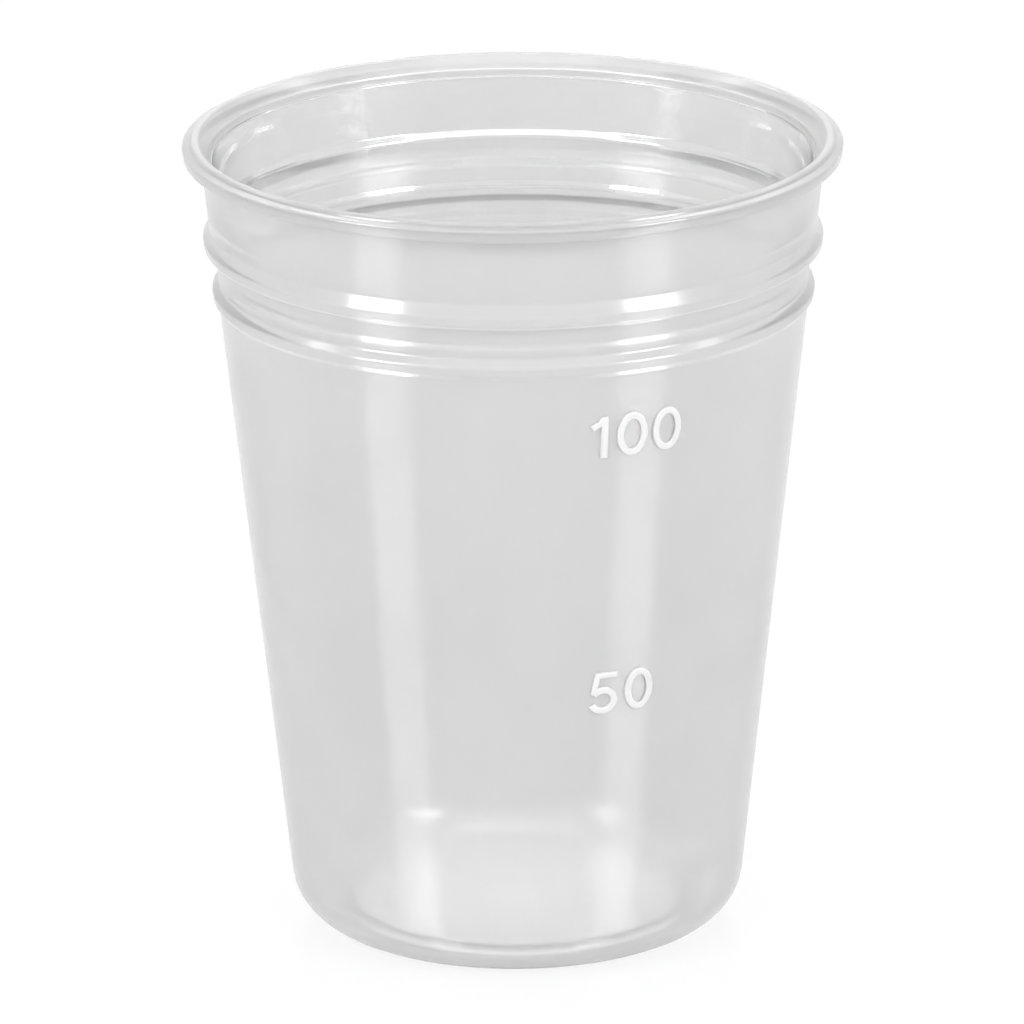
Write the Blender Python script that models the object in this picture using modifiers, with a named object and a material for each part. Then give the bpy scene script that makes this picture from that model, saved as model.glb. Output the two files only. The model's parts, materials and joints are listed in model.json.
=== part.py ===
"""Disposable sample cup, injection moulded in one piece from natural polypropylene.

Metres, +Z up. The cup stands on its foot ring with the origin on its axis at the surface that it rests on.
The whole moulding is one outline turned about the axis. Each corner of the outline carries its own fillet.
"""

import math
from collections import namedtuple

import bpy

MM = 0.001

# Overall form: a plain cone between the foot and the rim
HEIGHT = 79.2 * MM
FOOT_CORNER_RADIUS = 21.7 * MM
DRAFT = math.radians(6.28)
WALL = 1.1 * MM

# Base: a foot ring round a raised floor, with the gate in its middle
FOOT_FILLET = 5.15 * MM
FOOT_THICKNESS = 1.0 * MM
FLOOR_RADIUS = 16.2 * MM
FLOOR = 1.0 * MM
RECESS_DEPTH = 1.2 * MM
STEP_THICKNESS = 0.8 * MM
STEP_SLOPE = 0.6 * MM
STEP_FILLET = 0.6 * MM
GATE_WELL_RADIUS = 2.7 * MM
GATE_WELL_DEPTH = 0.4 * MM
GATE_STUB_RADIUS = 0.7 * MM
GATE_STUB_HEIGHT = 0.25 * MM
GATE_FILLET = 0.2 * MM

# Rim: a step and a flare inside the mouth, a rounded lip, and a flange with an upright edge just below it
RIM_STEP_DROP = 2.0 * MM
RIM_STEP = 0.25 * MM
RIM_STEP_FILLET = 0.12 * MM
FLARE_DROP = 1.3 * MM
FLARE = 1.1 * MM
FLARE_FILLET = 0.3 * MM
LIP_WIDTH = 0.75 * MM
LIP_FILLET = 0.34 * MM
LIP_RISE = 0.35 * MM
LIP_FLANK = 0.1 * MM
LIP_FOOT_FILLET = 0.1 * MM
FLANGE_OVERHANG = 1.62 * MM
FLANGE_SLOPE = 0.15 * MM
FLANGE_THICKNESS = 1.2 * MM
FLANGE_EDGE_TAPER = 0.15 * MM
FLANGE_FILLET = 0.25 * MM

# Two outer beads under the rim. Each has a sloped shoulder, a flat face and a short underside
UPPER_BEAD_DROP = 8.4 * MM
UPPER_BEAD_RISE = 0.75 * MM
UPPER_BEAD_SHOULDER = 1.25 * MM
UPPER_BEAD_FACE = 0.9 * MM
UPPER_BEAD_UNDERSIDE = 0.5 * MM
LOWER_BEAD_DROP = 14.0 * MM
LOWER_BEAD_RISE = 0.5 * MM
LOWER_BEAD_SHOULDER = 0.8 * MM
LOWER_BEAD_FACE = 0.8 * MM
LOWER_BEAD_UNDERSIDE = 0.6 * MM
BEAD_FILLET = 0.45 * MM

# Waist: between the beads the wall stands in. Inside, it starts with a ledge and ends with a low ring
WAIST = 0.3 * MM
LEDGE_DROP = 7.25 * MM
LEDGE_HEIGHT = 0.6 * MM
RING_DROP = 12.85 * MM
RING_RISE = 0.15 * MM
RING_SLOPE = 0.5 * MM
WAIST_FILLET = 0.3 * MM

# Smoothness of the turned body
TURN_STEPS = 60
FACET_TOLERANCE = 0.04 * MM
EDGE_SHARE = 0.98
MERGE = 0.00001

Corner = namedtuple("Corner", "radius height fillet")


def outer_wall(height):
    """Radius of the outer wall at a height above the table."""
    return FOOT_CORNER_RADIUS + height * math.tan(DRAFT)


def inner_wall(height):
    """Radius of the inner wall, one wall thickness inside the outer one."""
    return outer_wall(height) - WALL / math.cos(DRAFT)


def floor_inside():
    """The floor's upper side, from the middle out, and the valley above the foot ring."""
    floor_height = RECESS_DEPTH + FLOOR
    return [
        Corner(0, floor_height + GATE_WELL_DEPTH, 0),
        Corner(GATE_WELL_RADIUS, floor_height + GATE_WELL_DEPTH, GATE_FILLET),
        Corner(GATE_WELL_RADIUS + GATE_WELL_DEPTH, floor_height, GATE_FILLET),
        Corner(FLOOR_RADIUS, floor_height, STEP_FILLET),
        Corner(FLOOR_RADIUS + STEP_SLOPE, FOOT_THICKNESS, STEP_FILLET),
        Corner(inner_wall(FOOT_THICKNESS), FOOT_THICKNESS, FOOT_FILLET - FOOT_THICKNESS),
    ]


def waist_inside():
    """The inner wall behind the beads, from the low ring up to the ledge."""
    ring = HEIGHT - RING_DROP
    ledge_top = HEIGHT - LEDGE_DROP
    ledge_foot = ledge_top - LEDGE_HEIGHT
    return [
        Corner(inner_wall(ring - RING_SLOPE), ring - RING_SLOPE, WAIST_FILLET),
        Corner(inner_wall(ring) - WAIST - RING_RISE, ring, WAIST_FILLET),
        Corner(inner_wall(ring + RING_SLOPE) - WAIST, ring + RING_SLOPE, WAIST_FILLET),
        Corner(inner_wall(ledge_foot) - WAIST, ledge_foot, WAIST_FILLET),
        Corner(inner_wall(ledge_top), ledge_top, WAIST_FILLET),
    ]


def rim():
    """The step and the flare inside the mouth, the lip, and the flange down to the outer wall."""
    step = HEIGHT - RIM_STEP_DROP
    mouth = inner_wall(step) + RIM_STEP
    lip_inside = mouth + FLARE
    lip_outside = lip_inside + LIP_WIDTH
    flange_edge = outer_wall(HEIGHT) + FLANGE_OVERHANG
    flange_top = HEIGHT - LIP_RISE
    edge_top = flange_top - FLANGE_SLOPE
    underside = edge_top - FLANGE_THICKNESS
    return [
        Corner(inner_wall(step), step, RIM_STEP_FILLET),
        Corner(mouth, step, RIM_STEP_FILLET),
        Corner(mouth, HEIGHT - FLARE_DROP, FLARE_FILLET),
        Corner(lip_inside, HEIGHT, LIP_FILLET),
        Corner(lip_outside, HEIGHT, LIP_FILLET),
        Corner(lip_outside + LIP_FLANK, flange_top, LIP_FOOT_FILLET),
        Corner(flange_edge, edge_top, FLANGE_FILLET),
        Corner(flange_edge - FLANGE_EDGE_TAPER, underside, FLANGE_FILLET),
        Corner(outer_wall(underside), underside, FLANGE_FILLET),
    ]


def upper_bead():
    """The bead above the waist: a sloped shoulder, a flat face and a short underside."""
    top = HEIGHT - UPPER_BEAD_DROP
    face_top = top - UPPER_BEAD_SHOULDER
    face_bottom = face_top - UPPER_BEAD_FACE
    bottom = face_bottom - UPPER_BEAD_UNDERSIDE
    return [
        Corner(outer_wall(top), top, BEAD_FILLET),
        Corner(outer_wall(face_top) + UPPER_BEAD_RISE, face_top, BEAD_FILLET),
        Corner(outer_wall(face_bottom) + UPPER_BEAD_RISE, face_bottom, BEAD_FILLET),
        Corner(outer_wall(bottom) - WAIST, bottom, BEAD_FILLET),
    ]


def lower_bead():
    """The bead below the waist, with the same parts as the upper one."""
    top = HEIGHT - LOWER_BEAD_DROP
    face_top = top - LOWER_BEAD_SHOULDER
    face_bottom = face_top - LOWER_BEAD_FACE
    bottom = face_bottom - LOWER_BEAD_UNDERSIDE
    return [
        Corner(outer_wall(top) - WAIST, top, BEAD_FILLET),
        Corner(outer_wall(face_top) + LOWER_BEAD_RISE, face_top, BEAD_FILLET),
        Corner(outer_wall(face_bottom) + LOWER_BEAD_RISE, face_bottom, BEAD_FILLET),
        Corner(outer_wall(bottom), bottom, BEAD_FILLET),
    ]


def foot_and_recess():
    """The foot ring's flat and the recess inside it, ending on the axis with the gate's stub."""
    well = RECESS_DEPTH + GATE_WELL_DEPTH
    recess_radius = FLOOR_RADIUS - STEP_THICKNESS
    return [
        Corner(FOOT_CORNER_RADIUS, 0, FOOT_FILLET),
        Corner(recess_radius + STEP_SLOPE, 0, STEP_FILLET),
        Corner(recess_radius, RECESS_DEPTH, STEP_FILLET),
        Corner(GATE_WELL_RADIUS, RECESS_DEPTH, GATE_FILLET),
        Corner(GATE_WELL_RADIUS - GATE_WELL_DEPTH, well, GATE_FILLET),
        Corner(GATE_STUB_RADIUS, well, GATE_FILLET),
        Corner(GATE_STUB_RADIUS, well - GATE_STUB_HEIGHT, GATE_FILLET),
        Corner(0, well - GATE_STUB_HEIGHT, 0),
    ]


def cup_outline():
    """All the corners, up the inside, over the rim and down the outside."""
    return [
        *floor_inside(),
        *waist_inside(),
        *rim(),
        *upper_bead(),
        *lower_bead(),
        *foot_and_recess(),
    ]


def towards(corner, other):
    """Unit vector from one corner to another, and the distance."""
    across = other.radius - corner.radius
    up = other.height - corner.height
    length = math.hypot(across, up)
    return across / length, up / length, length


def opening_at(before, corner, after):
    """Angle between the two edges that meet at a corner."""
    back_x, back_z, _ = towards(corner, before)
    on_x, on_z, _ = towards(corner, after)
    return math.acos(max(-1.0, min(1.0, back_x * on_x + back_z * on_z)))


def fillet_reaches(corners):
    """How far each fillet runs along its edges. Two that would meet on an edge are shortened to fit it."""
    wanted = [0.0]
    for before, corner, after in zip(corners, corners[1:], corners[2:]):
        wanted.append(corner.fillet / math.tan(opening_at(before, corner, after) / 2))
    wanted.append(0.0)
    fitted = list(wanted)
    for i in range(len(corners) - 1):
        room = EDGE_SHARE * towards(corners[i], corners[i + 1])[2]
        needed = wanted[i] + wanted[i + 1]
        if needed > room:
            fitted[i] = min(fitted[i], wanted[i] * room / needed)
            fitted[i + 1] = min(fitted[i + 1], wanted[i + 1] * room / needed)
    return fitted


def fillet_points(before, corner, after, reach):
    """The arc that replaces a corner, from one tangent point to the other."""
    back_x, back_z, _ = towards(corner, before)
    on_x, on_z, _ = towards(corner, after)
    half = opening_at(before, corner, after) / 2
    radius = reach * math.tan(half)
    middle = math.hypot(back_x + on_x, back_z + on_z)
    centre_x = corner.radius + (back_x + on_x) / middle * radius / math.sin(half)
    centre_z = corner.height + (back_z + on_z) / middle * radius / math.sin(half)
    start = math.atan2(corner.height + back_z * reach - centre_z, corner.radius + back_x * reach - centre_x)
    turn = math.copysign(math.pi - 2 * half, back_z * on_x - back_x * on_z)
    widest = 2 * math.acos(1 - min(1, FACET_TOLERANCE / radius))
    count = max(1, math.ceil(abs(turn) / widest))
    angles = [start + turn * i / count for i in range(count + 1)]
    return [(centre_x + radius * math.cos(angle), centre_z + radius * math.sin(angle)) for angle in angles]


def rounded(corners):
    """The outline with each corner's fillet in place."""
    reaches = fillet_reaches(corners)
    points = [(corners[0].radius, corners[0].height)]
    for before, corner, after, reach in zip(corners, corners[1:], corners[2:], reaches[1:]):
        points += fillet_points(before, corner, after, reach)
    points.append((corners[-1].radius, corners[-1].height))
    return points


def natural_polypropylene():
    """Clear to milky plastic without pigment."""
    material = bpy.data.materials.new("natural_polypropylene")
    material.use_nodes = True
    shader = material.node_tree.nodes["Principled BSDF"]
    shader.inputs["Base Color"].default_value = (0.80, 0.81, 0.81, 1)
    shader.inputs["Metallic"].default_value = 0
    shader.inputs["Roughness"].default_value = 0.28
    shader.inputs["IOR"].default_value = 1.49
    shader.inputs["Transmission Weight"].default_value = 0.6
    return material


def turned(name, points, material, collection):
    """A solid of revolution: the outline as a chain of edges, turned about Z by a Screw modifier."""
    mesh = bpy.data.meshes.new(name)
    vertices = [(radius, 0, height) for radius, height in points]
    edges = [(i, i + 1) for i in range(len(vertices) - 1)]
    mesh.from_pydata(vertices, edges, [])
    mesh.materials.append(material)
    body = bpy.data.objects.new(name, mesh)
    collection.objects.link(body)
    screw = body.modifiers.new("turn", "SCREW")
    screw.axis = "Z"
    screw.angle = math.tau
    screw.steps = TURN_STEPS
    screw.render_steps = TURN_STEPS
    screw.use_merge_vertices = True
    screw.merge_threshold = MERGE
    screw.use_smooth_shade = True
    return body


def clear_scene():
    """Remove the objects that the start-up file holds."""
    for item in list(bpy.data.objects):
        bpy.data.objects.remove(item, do_unlink=True)


def main():
    clear_scene()
    collection = bpy.data.collections.new("disposable_cup")
    bpy.context.scene.collection.children.link(collection)
    turned("cup", rounded(cup_outline()), natural_polypropylene(), collection)


main()
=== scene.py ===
"""Disposable sample cup, moulded in one piece from natural polypropylene, on a white sweep in a light tent.

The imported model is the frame. One piece stands for its node: the cup's section is drawn with a pen, rounded
and spun, and the raised volume numerals are joined to its wall. Lengths are in metres unless a name says
otherwise.
"""

import json
import logging
import math
from collections.abc import Callable, Iterator
from contextlib import contextmanager
from dataclasses import dataclass, field
from enum import Enum

import bmesh
import bpy
from mathutils import Matrix, Vector

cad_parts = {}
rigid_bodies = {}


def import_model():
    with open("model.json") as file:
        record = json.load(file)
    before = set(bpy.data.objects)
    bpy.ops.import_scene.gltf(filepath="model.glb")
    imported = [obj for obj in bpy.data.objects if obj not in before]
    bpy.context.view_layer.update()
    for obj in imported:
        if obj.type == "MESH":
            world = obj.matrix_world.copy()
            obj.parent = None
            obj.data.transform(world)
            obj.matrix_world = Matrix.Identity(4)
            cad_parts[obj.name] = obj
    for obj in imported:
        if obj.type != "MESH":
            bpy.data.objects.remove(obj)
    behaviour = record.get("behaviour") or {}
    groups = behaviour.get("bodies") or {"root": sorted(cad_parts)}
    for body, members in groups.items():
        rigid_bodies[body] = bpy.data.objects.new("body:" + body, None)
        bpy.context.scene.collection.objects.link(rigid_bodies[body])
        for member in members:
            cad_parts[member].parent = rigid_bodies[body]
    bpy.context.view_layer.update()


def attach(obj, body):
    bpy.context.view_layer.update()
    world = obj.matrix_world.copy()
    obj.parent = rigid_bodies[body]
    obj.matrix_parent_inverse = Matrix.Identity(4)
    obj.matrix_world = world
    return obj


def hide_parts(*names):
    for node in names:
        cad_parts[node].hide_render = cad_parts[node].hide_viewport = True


LOG = logging.getLogger("cup")

MM = 0.001
MERGE_DISTANCE = 0.001 * MM
SAME_PLACE = 0.002 * MM


class Ray(Enum):
    """The kinds of ray that see the studio as plain white, by the Light Path output that tells them."""

    CAMERA = "Is Camera Ray"
    GLOSSY = "Is Glossy Ray"
    TRANSMISSION = "Is Transmission Ray"


class Side(Enum):
    """The sides of the moulding, by the slot that their finish goes into.

    The cavity forms the outside and the rim, and the core forms the inside. The floor's top has a slot of its
    own, for painted light: a whiter copy of the plastic that stands in for the light falling on it from
    above.
    """

    CAVITY = 0
    FLOOR = 1
    CORE = 2


# Editing by hand


def deselect_all() -> None:
    """Leaves nothing selected, also not the nodes that loading leaves selected."""
    bpy.ops.object.select_all(action="DESELECT")


@contextmanager
def editing(piece: bpy.types.Object) -> Iterator[None]:
    """Opens a piece in edit mode and closes it again.

    Args:
        piece: the mesh object to edit.
    """
    deselect_all()
    piece.select_set(True)
    bpy.context.view_layer.objects.active = piece
    bpy.ops.object.mode_set(mode="EDIT")
    try:
        yield
    finally:
        bpy.ops.object.mode_set(mode="OBJECT")


def pick_points(piece: bpy.types.Object, wanted: Callable[[Vector], bool]) -> int:
    """Selects a piece's vertices by their place. The piece is in edit mode.

    Args:
        piece: the mesh object in edit mode.
        wanted: says whether a vertex at that place is selected.

    Returns:
        How many vertices are selected.
    """
    bpy.ops.mesh.select_mode(type="VERT")
    bpy.ops.mesh.select_all(action="DESELECT")
    shape = bmesh.from_edit_mesh(piece.data)
    count = 0
    for vertex in shape.verts:
        if wanted(vertex.co):
            vertex.select_set(True)
            count += 1
    shape.select_flush_mode()
    bmesh.update_edit_mesh(piece.data)
    return count


def pick_edges(piece: bpy.types.Object, wanted: Callable[[bmesh.types.BMEdge], bool]) -> int:
    """Selects a piece's edges one by one. The piece is in edit mode.

    Args:
        piece: the mesh object in edit mode.
        wanted: says whether an edge is selected.

    Returns:
        How many edges are selected.
    """
    bpy.ops.mesh.select_mode(type="EDGE")
    bpy.ops.mesh.select_all(action="DESELECT")
    shape = bmesh.from_edit_mesh(piece.data)
    count = 0
    for edge in shape.edges:
        if wanted(edge):
            edge.select_set(True)
            count += 1
    bmesh.update_edit_mesh(piece.data)
    return count


def pen_line(name: str, points: list[tuple[float, float]]) -> bpy.types.Object:
    """Draws a chain of edges in the XZ plane, point after point.

    Args:
        name: the new object's name.
        points: (x, z) of each point, in order.

    Returns:
        A mesh object that holds only that chain.
    """
    deselect_all()
    bpy.ops.mesh.primitive_plane_add(size=1, location=(0, 0, 0))
    piece = bpy.context.object
    piece.name = name
    with editing(piece):
        pick_points(piece, lambda place: place.x > 0 or place.y > 0)
        bpy.ops.mesh.delete(type="VERT")
        pick_points(piece, lambda place: True)
        x, z = points[0]
        bpy.ops.transform.translate(value=(x + 0.5, 0.5, z))
        for (x0, z0), (x1, z1) in zip(points, points[1:]):
            bpy.ops.mesh.extrude_region_move(TRANSFORM_OT_translate={"value": (x1 - x0, 0, z1 - z0)})
    return piece


def apply_modifiers(piece: bpy.types.Object) -> None:
    """Applies all of a piece's modifiers in order."""
    deselect_all()
    piece.select_set(True)
    bpy.context.view_layer.objects.active = piece
    for modifier in list(piece.modifiers):
        bpy.ops.object.modifier_apply(modifier=modifier.name)


# Finishes


def linear(code: str) -> tuple[float, float, float, float]:
    """Turns an sRGB hex colour into linear light.

    Args:
        code: six hex digits, with or without a leading hash.

    Returns:
        Red, green, blue and an alpha of 1.
    """
    parts = [int(code.lstrip("#")[i : i + 2], 16) / 255 for i in (0, 2, 4)]
    red, green, blue = (p / 12.92 if p <= 0.04045 else ((p + 0.055) / 1.055) ** 2.4 for p in parts)
    return red, green, blue, 1.0


def add_node(
    tree: bpy.types.NodeTree,
    kind: str,
    settings: dict | None = None,
    links: dict | None = None,
) -> bpy.types.Node:
    """Adds a node with its settings and links.

    Args:
        tree: the node tree that it goes into.
        kind: the node's type.
        settings: values by the name of a property, or else of an input socket.
        links: output sockets by the name or number of the input that they feed.

    Returns:
        The new node.
    """
    node = tree.nodes.new(kind)
    for name, value in (settings or {}).items():
        if name in node.inputs and not hasattr(type(node), name):
            node.inputs[name].default_value = value
        else:
            setattr(node, name, value)
    for name, source in (links or {}).items():
        tree.links.new(source, node.inputs[name])
    return node


def new_material(name: str) -> tuple[bpy.types.Material, bpy.types.NodeTree]:
    """Makes an empty node material.

    Args:
        name: the material's name.

    Returns:
        The material and its tree.
    """
    material = bpy.data.materials.new(name)
    material.use_nodes = True
    material.node_tree.nodes.clear()
    return material, material.node_tree


def share_by_ray(tree: bpy.types.NodeTree, shares: dict[Ray, float]) -> bpy.types.NodeSocket:
    """Works out how far a ray sees plain white, by its kind.

    Args:
        tree: the node tree that it goes into.
        shares: 0 to 1 for each kind of ray. Other rays have 0.

    Returns:
        The socket that holds the share.
    """
    rays = add_node(tree, "ShaderNodeLightPath").outputs
    largest = None
    for ray, share in shares.items():
        part = add_node(tree, "ShaderNodeMath", {"operation": "MULTIPLY"}, {0: rays[ray.value]})
        part.inputs[1].default_value = share
        if largest is None:
            largest = part
            continue
        links = {0: part.outputs[0], 1: largest.outputs[0]}
        largest = add_node(tree, "ShaderNodeMath", {"operation": "MAXIMUM"}, links)
    return largest.outputs[0]


@dataclass(frozen=True)
class NaturalPolypropylene:
    """Injection moulded polypropylene without pigment.

    Light passes, but the crystals in the plastic scatter a share of it, so a wall looks like thin milk glass,
    pale grey before white. The wall's scatter is drawn on its cavity side alone, so that one wall and two
    walls look almost alike. The core side is clear, and its polish gives the sharp spots of light in the
    foot's corner. The floor's top is a copy drawn near white and mostly matt: painted light, standing in for
    the light that falls on it from above.
    """

    name: str = "natural_polypropylene"
    clear_colour: str = "#D2D2D2"
    hazy_colour: str = "#CCCCCC"
    haze_mm: float = 9.0
    haze_detail: float = 3.0
    haze_grain: float = 0.55
    haze_low: float = 0.3
    haze_high: float = 0.7
    ripple_mm: float = 2.2
    ripple_depth_mm: float = 0.012
    ripple_strength: float = 0.25
    roughness: float = 0.15
    roughness_spread: float = 0.06
    transmission: float = 0.68
    ior: float = 1.49
    sheen: float = 0.3
    sheen_roughness: float = 0.4
    polish: float = 0.0
    polish_roughness: float = 0.12
    polish_ior: float = 1.7

    def make(self) -> bpy.types.Material:
        """Builds the material: haze in soft clouds, and a faint ripple from the flow of the melt."""
        material, tree = new_material(self.name)
        place = add_node(tree, "ShaderNodeTexCoord").outputs["Object"]
        clouds = add_node(
            tree,
            "ShaderNodeTexNoise",
            {
                "Scale": 1 / (self.haze_mm * MM),
                "Detail": self.haze_detail,
                "Roughness": self.haze_grain,
            },
            {"Vector": place},
        )
        colour = add_node(tree, "ShaderNodeMix", {"data_type": "RGBA"}, {0: clouds.outputs["Fac"]})
        colour.inputs[6].default_value = linear(self.clear_colour)
        colour.inputs[7].default_value = linear(self.hazy_colour)
        gloss = add_node(
            tree,
            "ShaderNodeMapRange",
            {
                "From Min": self.haze_low,
                "From Max": self.haze_high,
                "To Min": self.roughness - self.roughness_spread / 2,
                "To Max": self.roughness + self.roughness_spread / 2,
            },
            {"Value": clouds.outputs["Fac"]},
        )
        ripple = add_node(
            tree,
            "ShaderNodeTexNoise",
            {"Scale": 1 / (self.ripple_mm * MM)},
            {"Vector": place},
        )
        bump = add_node(
            tree,
            "ShaderNodeBump",
            {"Strength": self.ripple_strength, "Distance": self.ripple_depth_mm * MM},
            {"Height": ripple.outputs["Fac"]},
        )
        shader = add_node(
            tree,
            "ShaderNodeBsdfPrincipled",
            {
                "IOR": self.ior,
                "Transmission Weight": self.transmission,
                "Coat Weight": self.polish,
                "Coat Roughness": self.polish_roughness,
                "Coat IOR": self.polish_ior,
                "Sheen Weight": self.sheen,
                "Sheen Roughness": self.sheen_roughness,
            },
            {
                "Base Color": colour.outputs[2],
                "Roughness": gloss.outputs["Result"],
                "Normal": bump.outputs["Normal"],
            },
        )
        add_node(tree, "ShaderNodeOutputMaterial", None, {"Surface": shader.outputs["BSDF"]})
        return material


@dataclass(frozen=True)
class SparkErodedPolypropylene:
    """The same plastic where the mould is spark eroded.

    Its fine matt grain scatters more of the light, so the numerals look whiter than the wall. The grain is
    drawn coarser than the real one, so that it shows.
    """

    name: str = "spark_eroded_polypropylene"
    colour: str = "#DADADA"
    grain_mm: float = 0.12
    grain_depth_mm: float = 0.01
    grain_strength: float = 0.4
    grain_detail: float = 1.0
    roughness: float = 0.5
    transmission: float = 0.36
    ior: float = 1.49

    def make(self) -> bpy.types.Material:
        """Builds the material: one pale colour and a fine grain."""
        material, tree = new_material(self.name)
        place = add_node(tree, "ShaderNodeTexCoord").outputs["Object"]
        grain = add_node(
            tree,
            "ShaderNodeTexNoise",
            {"Scale": 1 / (self.grain_mm * MM), "Detail": self.grain_detail},
            {"Vector": place},
        )
        bump = add_node(
            tree,
            "ShaderNodeBump",
            {"Strength": self.grain_strength, "Distance": self.grain_depth_mm * MM},
            {"Height": grain.outputs["Fac"]},
        )
        shader = add_node(
            tree,
            "ShaderNodeBsdfPrincipled",
            {
                "Base Color": linear(self.colour),
                "Roughness": self.roughness,
                "IOR": self.ior,
                "Transmission Weight": self.transmission,
            },
            {"Normal": bump.outputs["Normal"]},
        )
        add_node(tree, "ShaderNodeOutputMaterial", None, {"Surface": shader.outputs["BSDF"]})
        return material


@dataclass(frozen=True)
class WhiteSweep:
    """A lacquered white sheet under the cup.

    The camera sees it as plain white with the cup's soft shadow. The cup's gloss sees it half as plain white
    and half as it is, with the softboxes mirrored in its lacquer. They show as soft upright streaks on the
    wall.
    """

    name: str = "white_sweep"
    colour: str = "#C6C6C6"
    roughness: float = 0.2
    lacquer: float = 1.0
    lacquer_roughness: float = 0.12
    lacquer_ior: float = 2.4
    white_level: float = 1.04
    shadow_share: float = 0.18
    mirror_share: float = 0.5

    def make(self) -> bpy.types.Material:
        """Builds the material: the lit sheet, mixed with plain white by the kind of ray."""
        material, tree = new_material(self.name)
        sheet = add_node(
            tree,
            "ShaderNodeBsdfPrincipled",
            {
                "Base Color": linear(self.colour),
                "Roughness": self.roughness,
                "Coat Weight": self.lacquer,
                "Coat Roughness": self.lacquer_roughness,
                "Coat IOR": self.lacquer_ior,
            },
        )
        white = add_node(tree, "ShaderNodeEmission", {"Color": (1, 1, 1, 1), "Strength": self.white_level})
        shares = {Ray.CAMERA: 1 - self.shadow_share, Ray.GLOSSY: 1 - self.mirror_share, Ray.TRANSMISSION: 1.0}
        mix = add_node(
            tree,
            "ShaderNodeMixShader",
            None,
            {0: share_by_ray(tree, shares), 1: sheet.outputs["BSDF"], 2: white.outputs["Emission"]},
        )
        add_node(tree, "ShaderNodeOutputMaterial", None, {"Surface": mix.outputs["Shader"]})
        return material


# The cup


@dataclass(frozen=True)
class Corner:
    """A sharp corner of the section, before its fillet is made."""

    radius: float
    height: float
    fillet: float

    def place(self) -> Vector:
        """Where the corner is drawn."""
        return Vector((self.radius, 0, self.height))


@dataclass(frozen=True)
class Bead:
    """A round bead on the outer wall: its drop from the lip, its rise, and the heights of its three faces."""

    drop: float
    rise: float
    shoulder: float
    face: float
    underside: float


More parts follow.
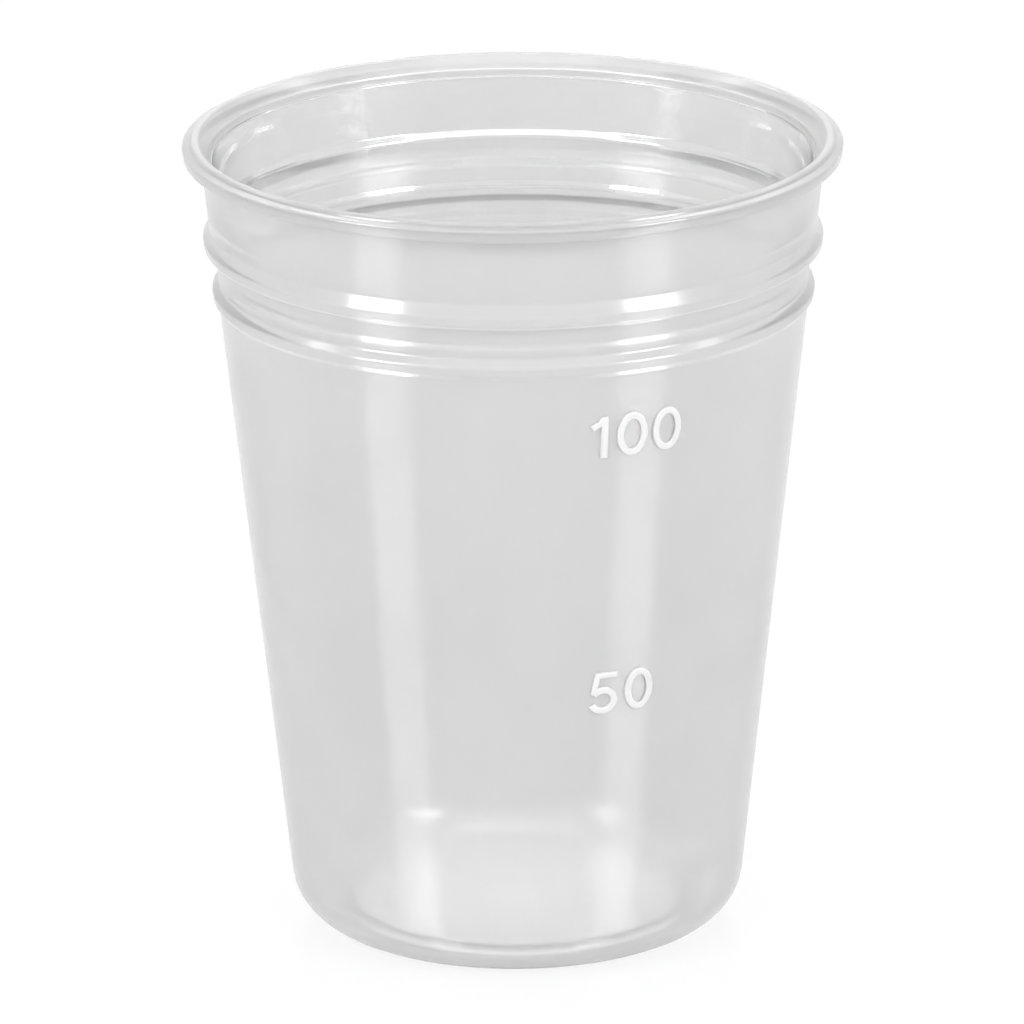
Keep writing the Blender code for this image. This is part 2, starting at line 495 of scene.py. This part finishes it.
@dataclass
class CupBody:
    """The moulded wall, floor, beads and rim: one section turned about the axis."""

    height: float = 79.2 * MM
    foot_corner_radius: float = 21.7 * MM
    draft: float = math.radians(6.28)
    wall: float = 1.1 * MM
    foot_fillet: float = 5.15 * MM
    foot_thickness: float = 1.0 * MM
    floor_radius: float = 16.2 * MM
    floor: float = 1.0 * MM
    recess_depth: float = 1.2 * MM
    step_thickness: float = 0.8 * MM
    step_slope: float = 0.6 * MM
    step_fillet: float = 0.6 * MM
    gate_well_radius: float = 2.7 * MM
    gate_well_depth: float = 0.4 * MM
    gate_stub_radius: float = 0.7 * MM
    gate_stub_height: float = 0.25 * MM
    gate_fillet: float = 0.2 * MM
    rim_step_drop: float = 2.0 * MM
    rim_step: float = 0.25 * MM
    rim_step_fillet: float = 0.12 * MM
    flare_drop: float = 1.3 * MM
    flare: float = 1.1 * MM
    flare_fillet: float = 0.3 * MM
    lip_width: float = 0.75 * MM
    lip_fillet: float = 0.34 * MM
    lip_rise: float = 0.35 * MM
    lip_flank: float = 0.1 * MM
    lip_foot_fillet: float = 0.1 * MM
    flange_overhang: float = 1.615 * MM
    flange_slope: float = 0.15 * MM
    flange_thickness: float = 1.2 * MM
    flange_edge_taper: float = 0.15 * MM
    flange_fillet: float = 0.25 * MM
    waist: float = 0.3 * MM
    upper_bead: Bead = Bead(8.4 * MM, 0.75 * MM, 1.25 * MM, 0.9 * MM, 0.5 * MM)
    lower_bead: Bead = Bead(14.0 * MM, 0.5 * MM, 0.8 * MM, 0.8 * MM, 0.6 * MM)
    bead_fillet: float = 0.45 * MM
    ledge_drop: float = 7.25 * MM
    ledge_height: float = 0.6 * MM
    ring_drop: float = 12.85 * MM
    ring_rise: float = 0.15 * MM
    ring_slope: float = 0.5 * MM
    waist_fillet: float = 0.3 * MM
    turn_steps: int = 240
    fillet_step: float = math.radians(11)
    fillet_room: float = 0.98
    longest_edge: float = 4.0 * MM
    wall_cuts: tuple[int, ...] = (7, 3, 1)

    def outer_wall(self, height: float) -> float:
        """Radius of the outer wall at a height above the table."""
        return self.foot_corner_radius + height * math.tan(self.draft)

    def inner_wall(self, height: float) -> float:
        """Radius of the inner wall at a height above the table."""
        return self.outer_wall(height) - self.wall / math.cos(self.draft)

    def floor_inside(self) -> list[Corner]:
        """The floor's upper side and the valley above the foot ring."""
        top = self.recess_depth + self.floor
        dome = top + self.gate_well_depth
        valley = self.foot_thickness
        return [
            Corner(0, dome, 0),
            Corner(self.gate_well_radius, dome, self.gate_fillet),
            Corner(self.gate_well_radius + self.gate_well_depth, top, self.gate_fillet),
            Corner(self.floor_radius, top, self.step_fillet),
            Corner(self.floor_radius + self.step_slope, valley, self.step_fillet),
            Corner(self.inner_wall(valley), valley, self.foot_fillet - self.foot_thickness),
        ]

    def waist_inside(self) -> list[Corner]:
        """The inner wall behind the beads, from the low ring up to the ledge."""
        ring = self.height - self.ring_drop
        ledge_top = self.height - self.ledge_drop
        ledge_foot = ledge_top - self.ledge_height
        low, high = ring - self.ring_slope, ring + self.ring_slope
        return [
            Corner(self.inner_wall(low), low, self.waist_fillet),
            Corner(self.inner_wall(ring) - self.waist - self.ring_rise, ring, self.waist_fillet),
            Corner(self.inner_wall(high) - self.waist, high, self.waist_fillet),
            Corner(self.inner_wall(ledge_foot) - self.waist, ledge_foot, self.waist_fillet),
            Corner(self.inner_wall(ledge_top), ledge_top, self.waist_fillet),
        ]

    def rim(self) -> list[Corner]:
        """The step and the flare inside the mouth, the lip, and the flange down to the outer wall."""
        step = self.height - self.rim_step_drop
        mouth = self.inner_wall(step) + self.rim_step
        lip_inside = mouth + self.flare
        lip_outside = lip_inside + self.lip_width
        flange_edge = self.outer_wall(self.height) + self.flange_overhang
        flange_top = self.height - self.lip_rise
        edge_top = flange_top - self.flange_slope
        underside = edge_top - self.flange_thickness
        return [
            Corner(self.inner_wall(step), step, self.rim_step_fillet),
            Corner(mouth, step, self.rim_step_fillet),
            Corner(mouth, self.height - self.flare_drop, self.flare_fillet),
            Corner(lip_inside, self.height, self.lip_fillet),
            Corner(lip_outside, self.height, self.lip_fillet),
            Corner(lip_outside + self.lip_flank, flange_top, self.lip_foot_fillet),
            Corner(flange_edge, edge_top, self.flange_fillet),
            Corner(flange_edge - self.flange_edge_taper, underside, self.flange_fillet),
            Corner(self.outer_wall(underside), underside, self.flange_fillet),
        ]

    def bead(self, bead: Bead, above: float, below: float) -> list[Corner]:
        """A bead's part of the section.

        Args:
            bead: its sizes.
            above: how far the wall stands in over the bead.
            below: how far the wall stands in under it.

        Returns:
            Its corners from the top down.
        """
        top = self.height - bead.drop
        face_top = top - bead.shoulder
        face_bottom = face_top - bead.face
        bottom = face_bottom - bead.underside
        return [
            Corner(self.outer_wall(top) - above, top, self.bead_fillet),
            Corner(self.outer_wall(face_top) + bead.rise, face_top, self.bead_fillet),
            Corner(self.outer_wall(face_bottom) + bead.rise, face_bottom, self.bead_fillet),
            Corner(self.outer_wall(bottom) - below, bottom, self.bead_fillet),
        ]

    def foot_and_recess(self) -> list[Corner]:
        """The foot ring's flat and the recess inside it, ending on the axis with the gate's stub."""
        well = self.recess_depth + self.gate_well_depth
        recess_radius = self.floor_radius - self.step_thickness
        return [
            Corner(self.foot_corner_radius, 0, self.foot_fillet),
            Corner(recess_radius + self.step_slope, 0, self.step_fillet),
            Corner(recess_radius, self.recess_depth, self.step_fillet),
            Corner(self.gate_well_radius, self.recess_depth, self.gate_fillet),
            Corner(self.gate_well_radius - self.gate_well_depth, well, self.gate_fillet),
            Corner(self.gate_stub_radius, well, self.gate_fillet),
            Corner(self.gate_stub_radius, well - self.gate_stub_height, self.gate_fillet),
            Corner(0, well - self.gate_stub_height, 0),
        ]

    def corners(self) -> list[Corner]:
        """The whole section: up the inside, over the rim and down the outside."""
        return [
            *self.floor_inside(),
            *self.waist_inside(),
            *self.rim(),
            *self.bead(self.upper_bead, 0, self.waist),
            *self.bead(self.lower_bead, self.waist, 0),
            *self.foot_and_recess(),
        ]

    def round_corners(self, piece: bpy.types.Object, corners: list[Corner]) -> None:
        """Bevels each corner of the drawn section to its fillet. Fillets that share an edge share its length.

        Args:
            piece: the drawn section, in edit mode.
            corners: its corners in order.
        """
        turns, wanted = [0.0], [0.0]
        for before, corner, after in zip(corners, corners[1:], corners[2:]):
            turn = (corner.place() - before.place()).angle(after.place() - corner.place())
            turns.append(turn)
            wanted.append(corner.fillet * math.tan(turn / 2))
        turns.append(0.0)
        wanted.append(0.0)
        reach = list(wanted)
        for i in range(len(corners) - 1):
            room = self.fillet_room * (corners[i + 1].place() - corners[i].place()).length
            needed = wanted[i] + wanted[i + 1]
            if needed > room:
                reach[i] = min(reach[i], wanted[i] * room / needed)
                reach[i + 1] = min(reach[i + 1], wanted[i + 1] * room / needed)
        for corner, turn, offset in zip(corners, turns, reach):
            if offset <= 0:
                continue
            pick_points(piece, lambda place: (place - corner.place()).length < SAME_PLACE)
            bpy.ops.mesh.bevel(
                offset=offset,
                offset_type="OFFSET",
                segments=max(2, math.ceil(turn / self.fillet_step)),
                affect="VERTICES",
                clamp_overlap=False,
            )

    def build(self) -> bpy.types.Object:
        """Draws the section, rounds it, cuts its long edges and spins it into the cup.

        Returns:
            The cup without its numerals.
        """
        corners = self.corners()
        piece = pen_line("cup_body", [(corner.radius, corner.height) for corner in corners])
        with editing(piece):
            self.round_corners(piece, corners)
            for cuts in self.wall_cuts:
                pick_edges(piece, lambda edge: edge.calc_length() > self.longest_edge * (cuts + 1) / 2)
                bpy.ops.mesh.subdivide(number_cuts=cuts, smoothness=0)
            bpy.ops.mesh.select_all(action="SELECT")
            bpy.ops.mesh.spin(steps=self.turn_steps, angle=math.tau, center=(0, 0, 0), axis=(0, 0, 1))
            bpy.ops.mesh.select_all(action="SELECT")
            bpy.ops.mesh.remove_doubles(threshold=MERGE_DISTANCE)
            bpy.ops.mesh.normals_make_consistent(inside=False)
        return piece


Point = tuple[float, float]


@dataclass(frozen=True)
class Stroke:
    """One stroke of a digit: its middle line, its width, and whether its top is cut level."""

    line: list[Point]
    width: float
    cut_level: bool = False


@dataclass
class Numeral:
    """One raised digit, drawn along the middle of its strokes and given width, depth and soft edges."""

    digit: str
    left: float
    width: float
    height: float = 4.3 * MM
    stroke: float = 0.68 * MM
    relief: float = 0.3 * MM
    sunk: float = 0.3 * MM
    edge: float = 0.1 * MM
    edge_steps: int = 3
    thin_share: float = 0.8
    arc_steps: int = 36
    sharp_angle: float = math.radians(30)

    def arc(self, middle: Point, reach: Point, start: float, sweep: float) -> list[Point]:
        """Points along an oval.

        Args:
            middle: (x, z) of its centre.
            reach: its half width and half height.
            start: the first point's angle in degrees.
            sweep: how far it runs in degrees, clockwise if negative.

        Returns:
            (x, z) of each point.
        """
        steps = self.arc_steps
        angles = [math.radians(start + sweep * i / steps) for i in range(steps + 1)]
        return [(middle[0] + reach[0] * math.cos(a), middle[1] + reach[1] * math.sin(a)) for a in angles]

    def strokes(self) -> list[Stroke]:
        """The digit's strokes, as (x, z) points from its lower left corner.

        Points are shares of its width and height. Bars and flags are thinner, and a stroke that is cut level
        runs on over the top.

        Returns:
            The strokes in the order in which they are joined.
        """
        half, thin = self.stroke / 2, self.stroke * self.thin_share
        right, top = self.width - half, self.height - half
        if self.digit == "1":
            over = (right + 0.1 * MM, self.height + 0.15 * MM)
            flag = [over, (self.width * 0.52, self.height * 0.84), (self.width * 0.06, self.height * 0.74)]
            return [Stroke([(right, self.height), (right, 0)], self.stroke), Stroke(flag, thin, True)]
        if self.digit == "5":
            middle, level = self.width * 0.45, self.height * 0.33
            bowl = self.arc((middle, level), (right - middle, level - half), 146, -300)
            over = (self.width * 0.28, self.height + 0.3 * MM)
            bar = self.height - thin / 2
            return [
                Stroke(bowl, self.stroke),
                Stroke([bowl[0], over], thin, True),
                Stroke([(self.width * 0.24, bar), (self.width * 0.96, bar)], thin),
            ]
        middle = (self.width / 2, self.height / 2)
        oval = self.arc(middle, (middle[0] - half, top - middle[1]), 90, 360)
        return [Stroke(oval, self.stroke)]

    def build_stroke(self, stroke: Stroke) -> bpy.types.Object:
        """Gives one stroke its depth, width and soft outer edges.

        Args:
            stroke: the stroke to build.

        Returns:
            The stroke as a closed mesh.
        """
        piece = pen_line("stroke", stroke.line)
        with editing(piece):
            bpy.ops.mesh.select_all(action="SELECT")
            bpy.ops.mesh.remove_doubles(threshold=MERGE_DISTANCE)
            depth = self.relief + self.sunk
            bpy.ops.mesh.extrude_region_move(TRANSFORM_OT_translate={"value": (0, -depth, 0)})
            bpy.ops.mesh.select_all(action="SELECT")
            bpy.ops.mesh.normals_make_consistent(inside=False)
        width = piece.modifiers.new("width", "SOLIDIFY")
        width.thickness, width.offset, width.use_even_offset = stroke.width, 0, True
        apply_modifiers(piece)
        with editing(piece):
            bpy.ops.mesh.select_all(action="SELECT")
            bpy.ops.mesh.normals_make_consistent(inside=False)
            if stroke.cut_level:
                cut = {"plane_co": (0, 0, self.height), "plane_no": (0, 0, 1)}
                bpy.ops.mesh.bisect(**cut, use_fill=True, clear_outer=True)
            pick_edges(piece, self.is_face_rim)
            bpy.ops.mesh.bevel(offset=self.edge, segments=self.edge_steps, affect="EDGES")
        return piece

    def build(self) -> bpy.types.Object:
        """Builds the strokes and joins them.

        Returns:
            The digit flat in the XZ plane, its face towards -Y and its back at y 0.
        """
        digit, *others = [self.build_stroke(stroke) for stroke in self.strokes()]
        for piece in others:
            join = digit.modifiers.new("join", "BOOLEAN")
            join.operation, join.solver, join.object = "UNION", "EXACT", piece
            apply_modifiers(digit)
            bpy.data.objects.remove(piece, do_unlink=True)
        digit.name = "digit_" + self.digit
        with editing(digit):
            bpy.ops.mesh.select_all(action="SELECT")
            bpy.ops.transform.translate(value=(self.left, 0, 0))
        return digit

    def is_face_rim(self, edge: bmesh.types.BMEdge) -> bool:
        """Whether an edge runs round the stroke's outer face.

        Args:
            edge: an edge of the stroke.

        Returns:
            True for a sharp edge between two faces, in the plane of the outer face.
        """
        front = -(self.relief + self.sunk) + 0.01 * MM
        if any(vertex.co.y > front for vertex in edge.verts) or len(edge.link_faces) != 2:
            return False
        return edge.calc_face_angle(0) > self.sharp_angle


@dataclass
class VolumeMark:
    """Raised digits that name a volume, wrapped round the outer wall at their height."""

    name: str
    digits: list[Numeral]
    baseline: float
    azimuth: float

    def build(self, cup: CupBody) -> bpy.types.Object:
        """Builds the digits and wraps them round the cone.

        Args:
            cup: the cup whose outer wall they stand on.

        Returns:
            One mesh object with all the digits in place.
        """
        pieces = [digit.build() for digit in self.digits]
        deselect_all()
        for piece in pieces:
            piece.select_set(True)
        bpy.context.view_layer.objects.active = pieces[0]
        bpy.ops.object.join()
        mark = bpy.context.object
        mark.name = self.name
        level = self.baseline + self.digits[0].height / 2
        sunk = self.digits[0].sunk
        for vertex in mark.data.vertices:
            across, depth, up = vertex.co.x, -vertex.co.y, vertex.co.z
            angle = self.azimuth + across / cup.outer_wall(level)
            radius = cup.outer_wall(self.baseline + up) - sunk + depth
            vertex.co = (radius * math.sin(angle), -radius * math.cos(angle), self.baseline + up)
        mark.data.update()
        return mark


def photographed_marks() -> list[VolumeMark]:
    """The two volume marks, each from the azimuth of its left edge."""
    hundred = [
        Numeral("1", 0.0, 1.68 * MM, height=4.18 * MM),
        Numeral("0", 2.61 * MM, 3.11 * MM, height=4.4 * MM),
        Numeral("0", 6.29 * MM, 3.1 * MM, height=4.4 * MM),
    ]
    fifty = [
        Numeral("5", 0.0, 2.7 * MM, height=4.25 * MM),
        Numeral("0", 3.47 * MM, 2.97 * MM, height=4.3 * MM),
    ]
    return [
        VolumeMark("mark_100", hundred, 54.75 * MM, math.radians(14.95)),
        VolumeMark("mark_50", fifty, 28.1 * MM, math.radians(16.43)),
    ]


@dataclass
class SampleCup:
    """The whole moulding: the turned body with its volume marks joined on."""

    body: CupBody = field(default_factory=CupBody)
    marks: list[VolumeMark] = field(default_factory=photographed_marks)
    finishes: dict[Side, NaturalPolypropylene] = field(
        default_factory=lambda: {
            Side.CAVITY: NaturalPolypropylene(),
            # The floor's top: a near white, mostly matt copy of the same plastic, painted light that stands
            # in for the light falling into the cup from above.
            Side.FLOOR: NaturalPolypropylene(
                name="floor_painted_light_polypropylene",
                clear_colour="#FFFFFF",
                hazy_colour="#FCFCFC",
                transmission=0.1,
                sheen=0.0,
            ),
            Side.CORE: NaturalPolypropylene(
                name="polished_polypropylene",
                clear_colour="#FFFFFF",
                hazy_colour="#FAFAFA",
                roughness=0.08,
                transmission=1.0,
                sheen=0.0,
                polish=1.0,
            ),
        }
    )
    matt_plastic: SparkErodedPolypropylene = field(default_factory=SparkErodedPolypropylene)
    floor_zone: float = 5 * MM
    facing_up: float = 0.5
    facing_in: float = -0.05
    smooth_angle: float = math.radians(35)

    def side_of(self, face: bmesh.types.BMFace) -> Side:
        """Which side of the moulding a face is on.

        Args:
            face: a face of the turned body.

        Returns:
            The floor's top, the clear core side with the recess under the floor, or the hazy cavity side.
        """
        middle = face.calc_center_median()
        outward = face.normal.xy.dot(middle.xy) / max(middle.xy.length, 0.01 * MM)
        up, low = face.normal.z > self.facing_up, middle.z < self.floor_zone
        if low and middle.xy.length < self.body.floor_radius:
            # Upward faces of the floor take the whiter copy, painted light from above; the rest of the floor
            # is core side.
            return Side.FLOOR if up else Side.CORE
        inside = outward < self.facing_in or (up and low)
        step = self.body.height - self.body.rim_step_drop
        return Side.CORE if inside and middle.z < step else Side.CAVITY

    def dress(self, cup: bpy.types.Object) -> None:
        """Gives each side of the moulding its finish. What is left has the first slot's.

        Args:
            cup: the turned body, with the finishes in its slots.
        """
        for side in (Side.FLOOR, Side.CORE):
            with editing(cup):
                bpy.ops.mesh.select_mode(type="FACE")
                bpy.ops.mesh.select_all(action="DESELECT")
                shape = bmesh.from_edit_mesh(cup.data)
                for face in shape.faces:
                    if self.side_of(face) is side:
                        face.select_set(True)
                bmesh.update_edit_mesh(cup.data)
                cup.active_material_index = side.value
                bpy.ops.object.material_slot_assign()

    def build(self) -> bpy.types.Object:
        """Builds the body, joins the marks to its wall and dresses it.

        Returns:
            The finished cup, riding on the frame in place of its node.
        """
        cup = self.body.build()
        LOG.info("turned body: %d faces", len(cup.data.polygons))
        matt = self.matt_plastic.make()
        for side in Side:
            cup.data.materials.append(self.finishes[side].make())
        self.dress(cup)
        for mark in self.marks:
            digits = mark.build(self.body)
            digits.data.materials.append(matt)
            join = cup.modifiers.new(mark.name, "BOOLEAN")
            join.operation, join.solver, join.object = "UNION", "EXACT", digits
            join.material_mode = "TRANSFER"
            apply_modifiers(cup)
            bpy.data.objects.remove(digits, do_unlink=True)
            LOG.info("%s joined: %d faces", mark.name, len(cup.data.polygons))
        deselect_all()
        cup.select_set(True)
        bpy.context.view_layer.objects.active = cup
        bpy.ops.object.shade_smooth_by_angle(angle=self.smooth_angle)
        cup.name = "sample_cup"
        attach(cup, "root")
        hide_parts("cup")
        return cup


# The studio


@dataclass
class Softbox:
    """A flat diffused lamp that faces the cup. Angles are in degrees and the power is in watts."""

    name: str
    azimuth: float
    elevation: float
    distance: float
    width: float
    height: float
    power: float
    aim_height: float = 40 * MM

    def build(self) -> bpy.types.Object:
        """Places the lamp. Azimuth 0 is the camera's side and 90 is the cup's right."""
        aim = Vector((0, 0, self.aim_height))
        turn, lift = math.radians(self.azimuth), math.radians(self.elevation)
        away = Vector((math.sin(turn) * math.cos(lift), -math.cos(turn) * math.cos(lift), math.sin(lift)))
        data = bpy.data.lights.new(self.name, "AREA")
        data.shape, data.size, data.size_y, data.energy = "RECTANGLE", self.width, self.height, self.power
        lamp = bpy.data.objects.new(self.name, data)
        bpy.context.scene.collection.objects.link(lamp)
        lamp.location = aim + away * self.distance
        lamp.rotation_mode = "QUATERNION"
        lamp.rotation_quaternion = away.to_track_quat("Z", "Y")
        return lamp


@dataclass
class StudioCamera:
    """A long lens a metre from the cup, looking a little down on it."""

    distance: float = 1.001
    elevation: float = 17.853
    pivot_height: float = 38 * MM
    aim: tuple[float, float, float] = (-0.304 * MM, 0, 40.975 * MM)
    roll: float = -0.405
    lens_mm: float = 359.41
    sensor_mm: float = 36.0

    def build(self) -> bpy.types.Object:
        """Places the camera, turns it towards its aim and rolls it."""
        lift = math.radians(self.elevation)
        data = bpy.data.cameras.new("camera")
        data.lens, data.sensor_width = self.lens_mm, self.sensor_mm
        data.clip_start, data.clip_end = 0.05, 50
        camera = bpy.data.objects.new("camera", data)
        bpy.context.scene.collection.objects.link(camera)
        back, up = self.distance * math.cos(lift), self.distance * math.sin(lift)
        place = Vector((0, -back, self.pivot_height + up))
        facing = (Vector(self.aim) - place).to_track_quat("-Z", "Y").to_matrix().to_4x4()
        rolled = facing @ Matrix.Rotation(math.radians(self.roll), 4, "Z")
        camera.matrix_world = Matrix.Translation(place) @ rolled
        bpy.context.scene.camera = camera
        return camera


def studio_lamps() -> list[Softbox]:
    """Two softboxes in front, one overhead, and a ring of strips.

    The strips draw the bright lines along the rim and the beads.

    Returns:
        The lamps. Each number after a name is the azimuth, elevation, distance, width, height and power.
    """
    lamps = [
        Softbox("softbox_left", -53, 25, 0.7, 0.22, 0.3, 4.0),
        Softbox("softbox_right", 53, 25, 0.7, 0.22, 0.3, 4.0),
        Softbox("softbox_overhead", 0, 89, 1.0, 0.8, 0.8, 4.0),
    ]
    for turn in range(0, 360, 60):
        lamps.append(Softbox(f"strip_{turn}", turn, 44, 0.8, 0.85, 0.08, 0.9))
    return lamps


@dataclass
class Studio:
    """White sweep, white surroundings, the lamps and the camera."""

    floor_size: float = 8.0
    surroundings: float = 0.25
    sweep: WhiteSweep = field(default_factory=WhiteSweep)
    camera: StudioCamera = field(default_factory=StudioCamera)
    lamps: list[Softbox] = field(default_factory=studio_lamps)

    def build_floor(self) -> bpy.types.Object:
        """The sweep under the cup."""
        deselect_all()
        bpy.ops.mesh.primitive_plane_add(size=self.floor_size, location=(0, 0, 0))
        floor = bpy.context.object
        floor.name = "sweep"
        floor.data.materials.append(self.sweep.make())
        return floor

    def build_surroundings(self) -> None:
        """White all round for rays that look at it, and a plain level of light for the rest."""
        world = bpy.data.worlds.new("light_tent")
        world.use_nodes = True
        tree = world.node_tree
        tree.nodes.clear()
        level = add_node(
            tree,
            "ShaderNodeMapRange",
            {"To Min": self.surroundings, "To Max": 1.0},
            {"Value": share_by_ray(tree, {ray: 1.0 for ray in Ray})},
        )
        light = add_node(
            tree,
            "ShaderNodeBackground",
            {"Color": (1, 1, 1, 1)},
            {"Strength": level.outputs["Result"]},
        )
        add_node(tree, "ShaderNodeOutputWorld", None, {"Surface": light.outputs["Background"]})
        bpy.context.scene.world = world

    def build(self) -> None:
        """Builds the floor, the surroundings, the lamps and the camera."""
        bpy.context.scene.view_settings.view_transform = "Standard"
        self.build_floor()
        self.build_surroundings()
        for lamp in self.lamps:
            lamp.build()
        self.camera.build()
        LOG.info("studio: %d lamps", len(self.lamps))


def main() -> None:
    """Loads the frame and builds the studio and the cup."""
    logging.basicConfig(level=logging.INFO, format="%(message)s")
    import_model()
    Studio().build()
    cup = SampleCup().build()
    LOG.info("%s: %d faces", cup.name, len(cup.data.polygons))


if __name__ == "__main__":
    main()
